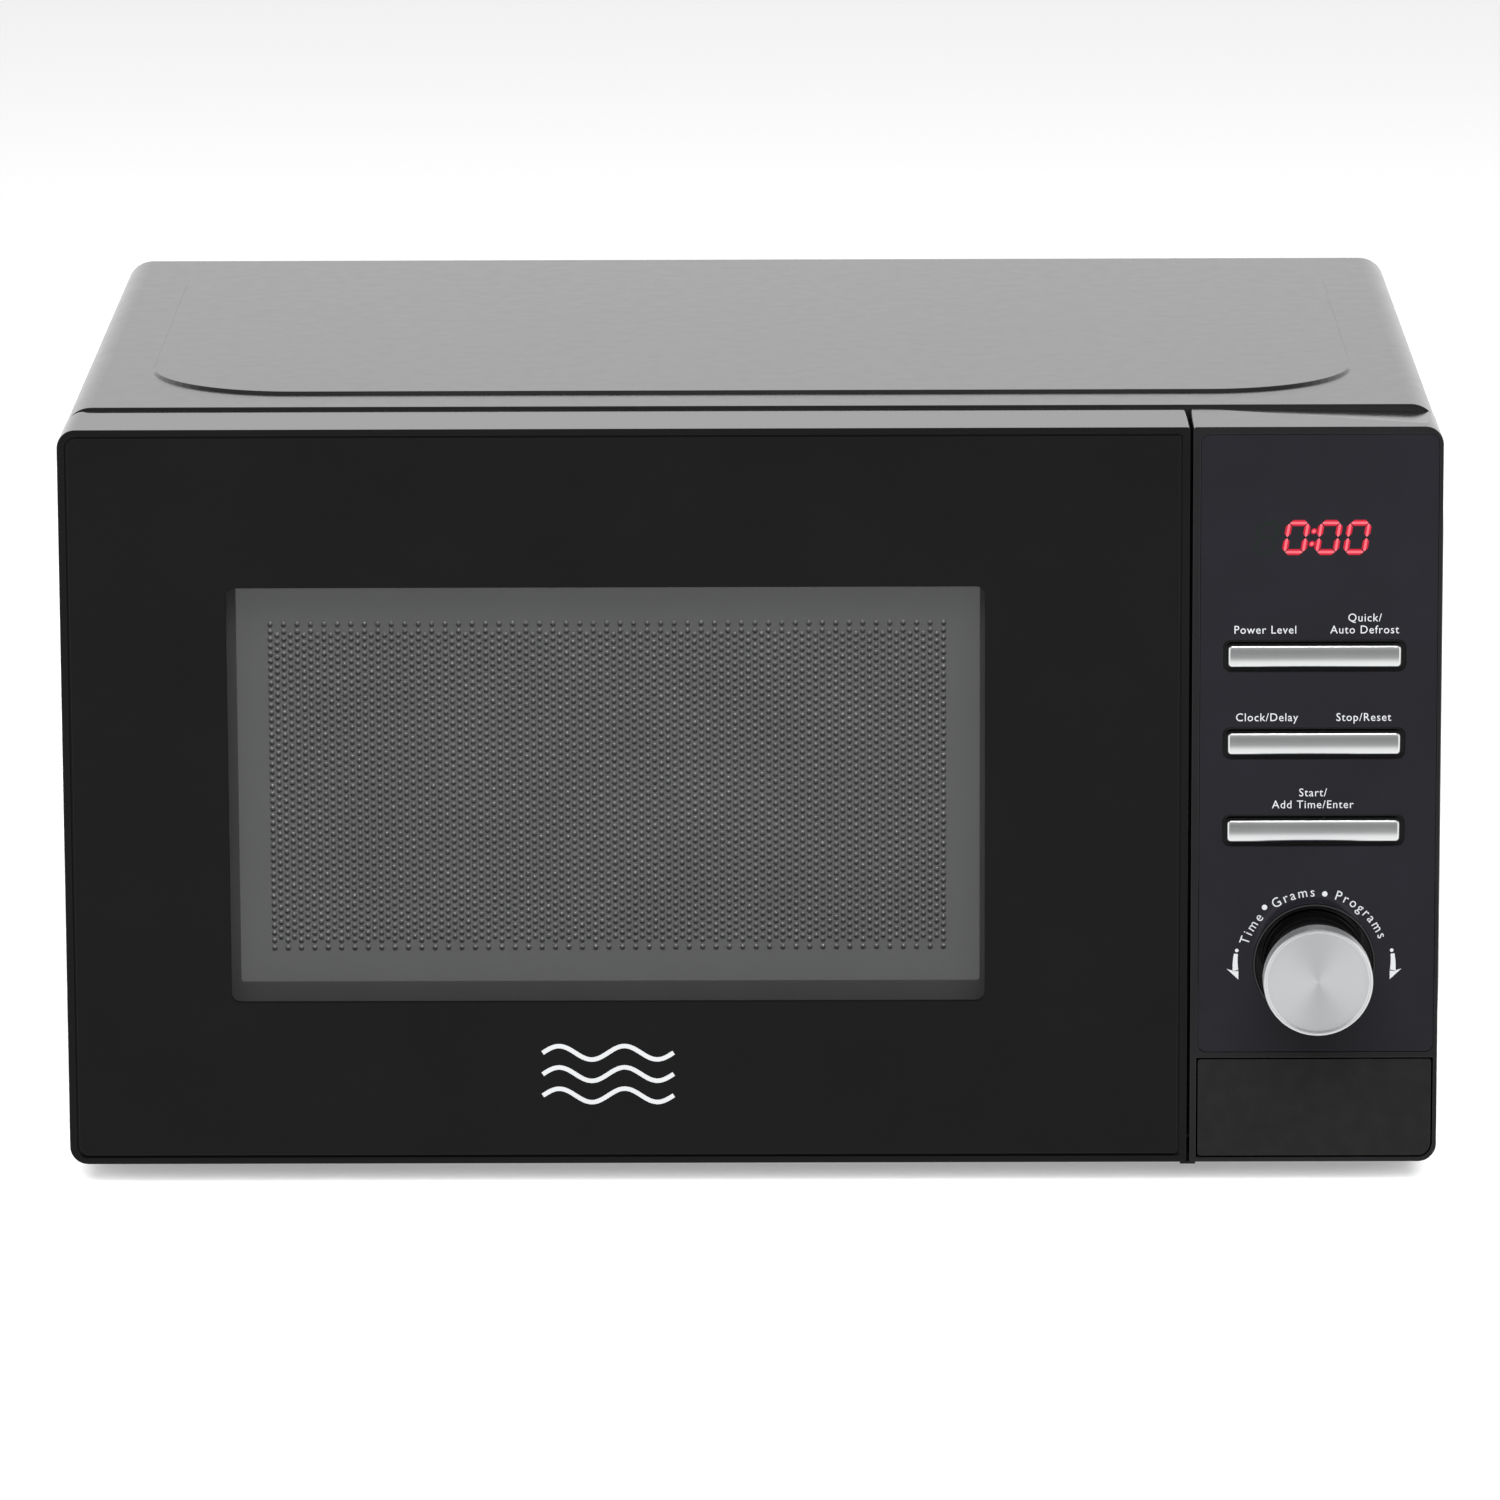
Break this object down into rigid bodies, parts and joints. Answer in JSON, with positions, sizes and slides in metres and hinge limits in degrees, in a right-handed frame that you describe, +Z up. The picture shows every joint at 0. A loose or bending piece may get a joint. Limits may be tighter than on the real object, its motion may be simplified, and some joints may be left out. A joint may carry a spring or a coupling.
{
  "type": "microwave oven",
  "caption": "Countertop microwave oven: left-hung glass door with perforated window screen, glass turntable on rollers, knob, rocker bars, door-release button and internal works.",
  "frame": {"origin": "centre of the footprint at the underside of the feet", "axes": "+X to the right seen from the front, +Y to the rear, +Z up; the door faces -Y"},
  "size_m": [0.4598, 0.368, 0.2576],
  "materials": {
    "cabinet_paint": "satin black powder paint",
    "plate_paint": "satin black paint",
    "plated_steel": "zinc-plated sheet",
    "cavity_paint": "light grey paint",
    "rubber_feet": "matt",
    "screw_steel": "plated",
    "black_plastic": "fine satin",
    "gloss_black_plastic": "gloss",
    "fascia_gloss": "gloss, slightly violet black",
    "circuit_board": "solder resist",
    "natural_plastic": "natural white",
    "spring_steel": "drawn wire",
    "mica": "flaky satin",
    "bright_aluminium": "mill finish",
    "core_steel": "laminated steel",
    "winding": "enamelled wire",
    "lead_insulation": "silicone sleeve",
    "lamp_glass": "clear",
    "door_glass": "tinted float glass",
    "bezel_plastic": "satin",
    "screen_paint": "dark grey paint on perforated steel",
    "clear_film": "clear plastic film",
    "button_black": "satin gloss",
    "silver_plastic": "silver paint, satin",
    "spun_aluminium": "radially spun, bright chamfer",
    "tray_glass": "pressed glass"
  },
  "bodies": {
    "chassis": {"outer_cabinet": "cabinet_paint", "rear_panel": "plated_steel", "base_plate": "plated_steel", "front_plate": "plate_paint", "cavity": "cavity_paint", "feet": "rubber_feet", "case_screws": "screw_steel", "cord_gland": "black_plastic", "upper_hinge": "plated_steel", "lower_hinge": "plated_steel", "control_housing": "gloss_black_plastic", "control_fascia": "fascia_gloss", "knob_bezel": "black_plastic", "display_module": "black_plastic", "control_board": "circuit_board", "tact_switches": "black_plastic", "encoder": "screw_steel", "interlock_bracket": "natural_plastic", "interlock_switches": "black_plastic", "release_spring": "spring_steel", "waveguide": "plated_steel", "mica_cover": "mica", "magnetron": "bright_aluminium", "air_duct": "black_plastic", "transformer_core": "core_steel", "transformer_coils": "winding", "capacitor": "bright_aluminium", "hv_diode": "black_plastic", "hv_leads": "lead_insulation", "fan_motor": "core_steel", "fan_housing": "black_plastic", "cavity_lamp": "lamp_glass", "thermal_cutouts": "natural_plastic", "filter_board": "circuit_board", "turntable_motor": "screw_steel"},
    "door": {"door_frame": "gloss_black_plastic", "door_glass": "door_glass", "window_bezel": "bezel_plastic", "door_screen": "screen_paint", "door_panel": "cavity_paint", "choke_cover": "black_plastic", "inner_film": "clear_film", "latch_spring": "spring_steel"},
    "latch": {"door_latch": "natural_plastic"},
    "release_button": {"release_button": "button_black"},
    "release_lever": {"release_lever": "natural_plastic"},
    "rocker_upper": {"rocker_upper": "silver_plastic"},
    "rocker_middle": {"rocker_middle": "silver_plastic"},
    "start_bar": {"start_bar": "silver_plastic"},
    "knob": {"knob_body": "black_plastic", "knob_cap": "spun_aluminium", "encoder_shaft": "screw_steel"},
    "turntable": {"drive_coupler": "natural_plastic", "glass_tray": "tray_glass"},
    "roller_ring": {"roller_ring": "natural_plastic"},
    "roller_1": {"roller_1": "natural_plastic"},
    "roller_2": {"roller_2": "natural_plastic"},
    "roller_3": {"roller_3": "natural_plastic"},
    "fan": {"fan_blade": "natural_plastic"}
  },
  "joints": [
    {"name": "door_hinge", "type": "hinge", "parent": "chassis", "child": "door", "pos_m": [-0.2183, -0.13, 0.1324], "axis": [0, 0, -1], "range_deg": [0, 100]},
    {"name": "latch_slide", "type": "slide", "parent": "door", "child": "latch", "axis": [0, 0, 1], "range_m": [0, 0.0036], "stiffness_N_per_m": 250, "springref_m": -0.003, "deforming": ["latch_spring"]},
    {"name": "release_slide", "type": "slide", "parent": "chassis", "child": "release_button", "axis": [0, 1, 0], "range_m": [0, 0.006], "stiffness_N_per_m": 400, "springref_m": -0.002},
    {"name": "release_lever_turn", "type": "hinge", "parent": "chassis", "child": "release_lever", "pos_m": [0.1385, -0.107, 0.047], "axis": [1, 0, 0], "range_deg": [0, 17.2], "deforming": ["release_spring"]},
    {"name": "rocker_upper_tilt", "type": "hinge", "parent": "chassis", "child": "rocker_upper", "pos_m": [0.1845, -0.1496, 0.17965], "axis": [0, 0, 1], "range_deg": [-2.5, 2.5], "stiffness_Nm_per_rad": 0.6},
    {"name": "rocker_middle_tilt", "type": "hinge", "parent": "chassis", "child": "rocker_middle", "pos_m": [0.1845, -0.1496, 0.1504], "axis": [0, 0, 1], "range_deg": [-2.5, 2.5], "stiffness_Nm_per_rad": 0.6},
    {"name": "start_press", "type": "slide", "parent": "chassis", "child": "start_bar", "axis": [0, 1, 0], "range_m": [0, 0.001], "stiffness_N_per_m": 1500},
    {"name": "knob_turn", "type": "hinge", "parent": "chassis", "child": "knob", "pos_m": [0.1852, -0.167, 0.0762], "axis": [0, -1, 0], "continuous": true},
    {"name": "turntable_spin", "type": "hinge", "parent": "chassis", "child": "turntable", "pos_m": [-0.0475, 0.0252, 0.05], "axis": [0, 0, 1], "continuous": true},
    {"name": "roller_ring_spin", "type": "hinge", "parent": "chassis", "child": "roller_ring", "pos_m": [-0.0475, 0.0252, 0.042], "axis": [0, 0, 1], "continuous": true},
    {"name": "roller_1_spin", "type": "hinge", "parent": "roller_ring", "child": "roller_1", "pos_m": [-0.0475, 0.1252, 0.042], "axis": [0, 1, 0], "continuous": true},
    {"name": "roller_2_spin", "type": "hinge", "parent": "roller_ring", "child": "roller_2", "pos_m": [-0.1341, -0.0248, 0.042], "axis": [-0.866, -0.5, 0], "continuous": true},
    {"name": "roller_3_spin", "type": "hinge", "parent": "roller_ring", "child": "roller_3", "pos_m": [0.0391, -0.0248, 0.042], "axis": [0.866, -0.5, 0], "continuous": true},
    {"name": "fan_spin", "type": "hinge", "parent": "chassis", "child": "fan", "pos_m": [0.166, 0.169, 0.186], "axis": [0, 1, 0], "continuous": true}
  ],
  "couplings": [
    {"joint": "latch_slide", "follows": "release_slide", "ratio": 0.6},
    {"joint": "release_lever_turn", "follows": "release_slide", "rad_per_m": 50},
    {"joint": "roller_ring_spin", "follows": "turntable_spin", "ratio": 0.5},
    {"joint": "roller_1_spin", "follows": "turntable_spin", "ratio": -6.4103},
    {"joint": "roller_2_spin", "follows": "turntable_spin", "ratio": -6.4103},
    {"joint": "roller_3_spin", "follows": "turntable_spin", "ratio": -6.4103}
  ]
}
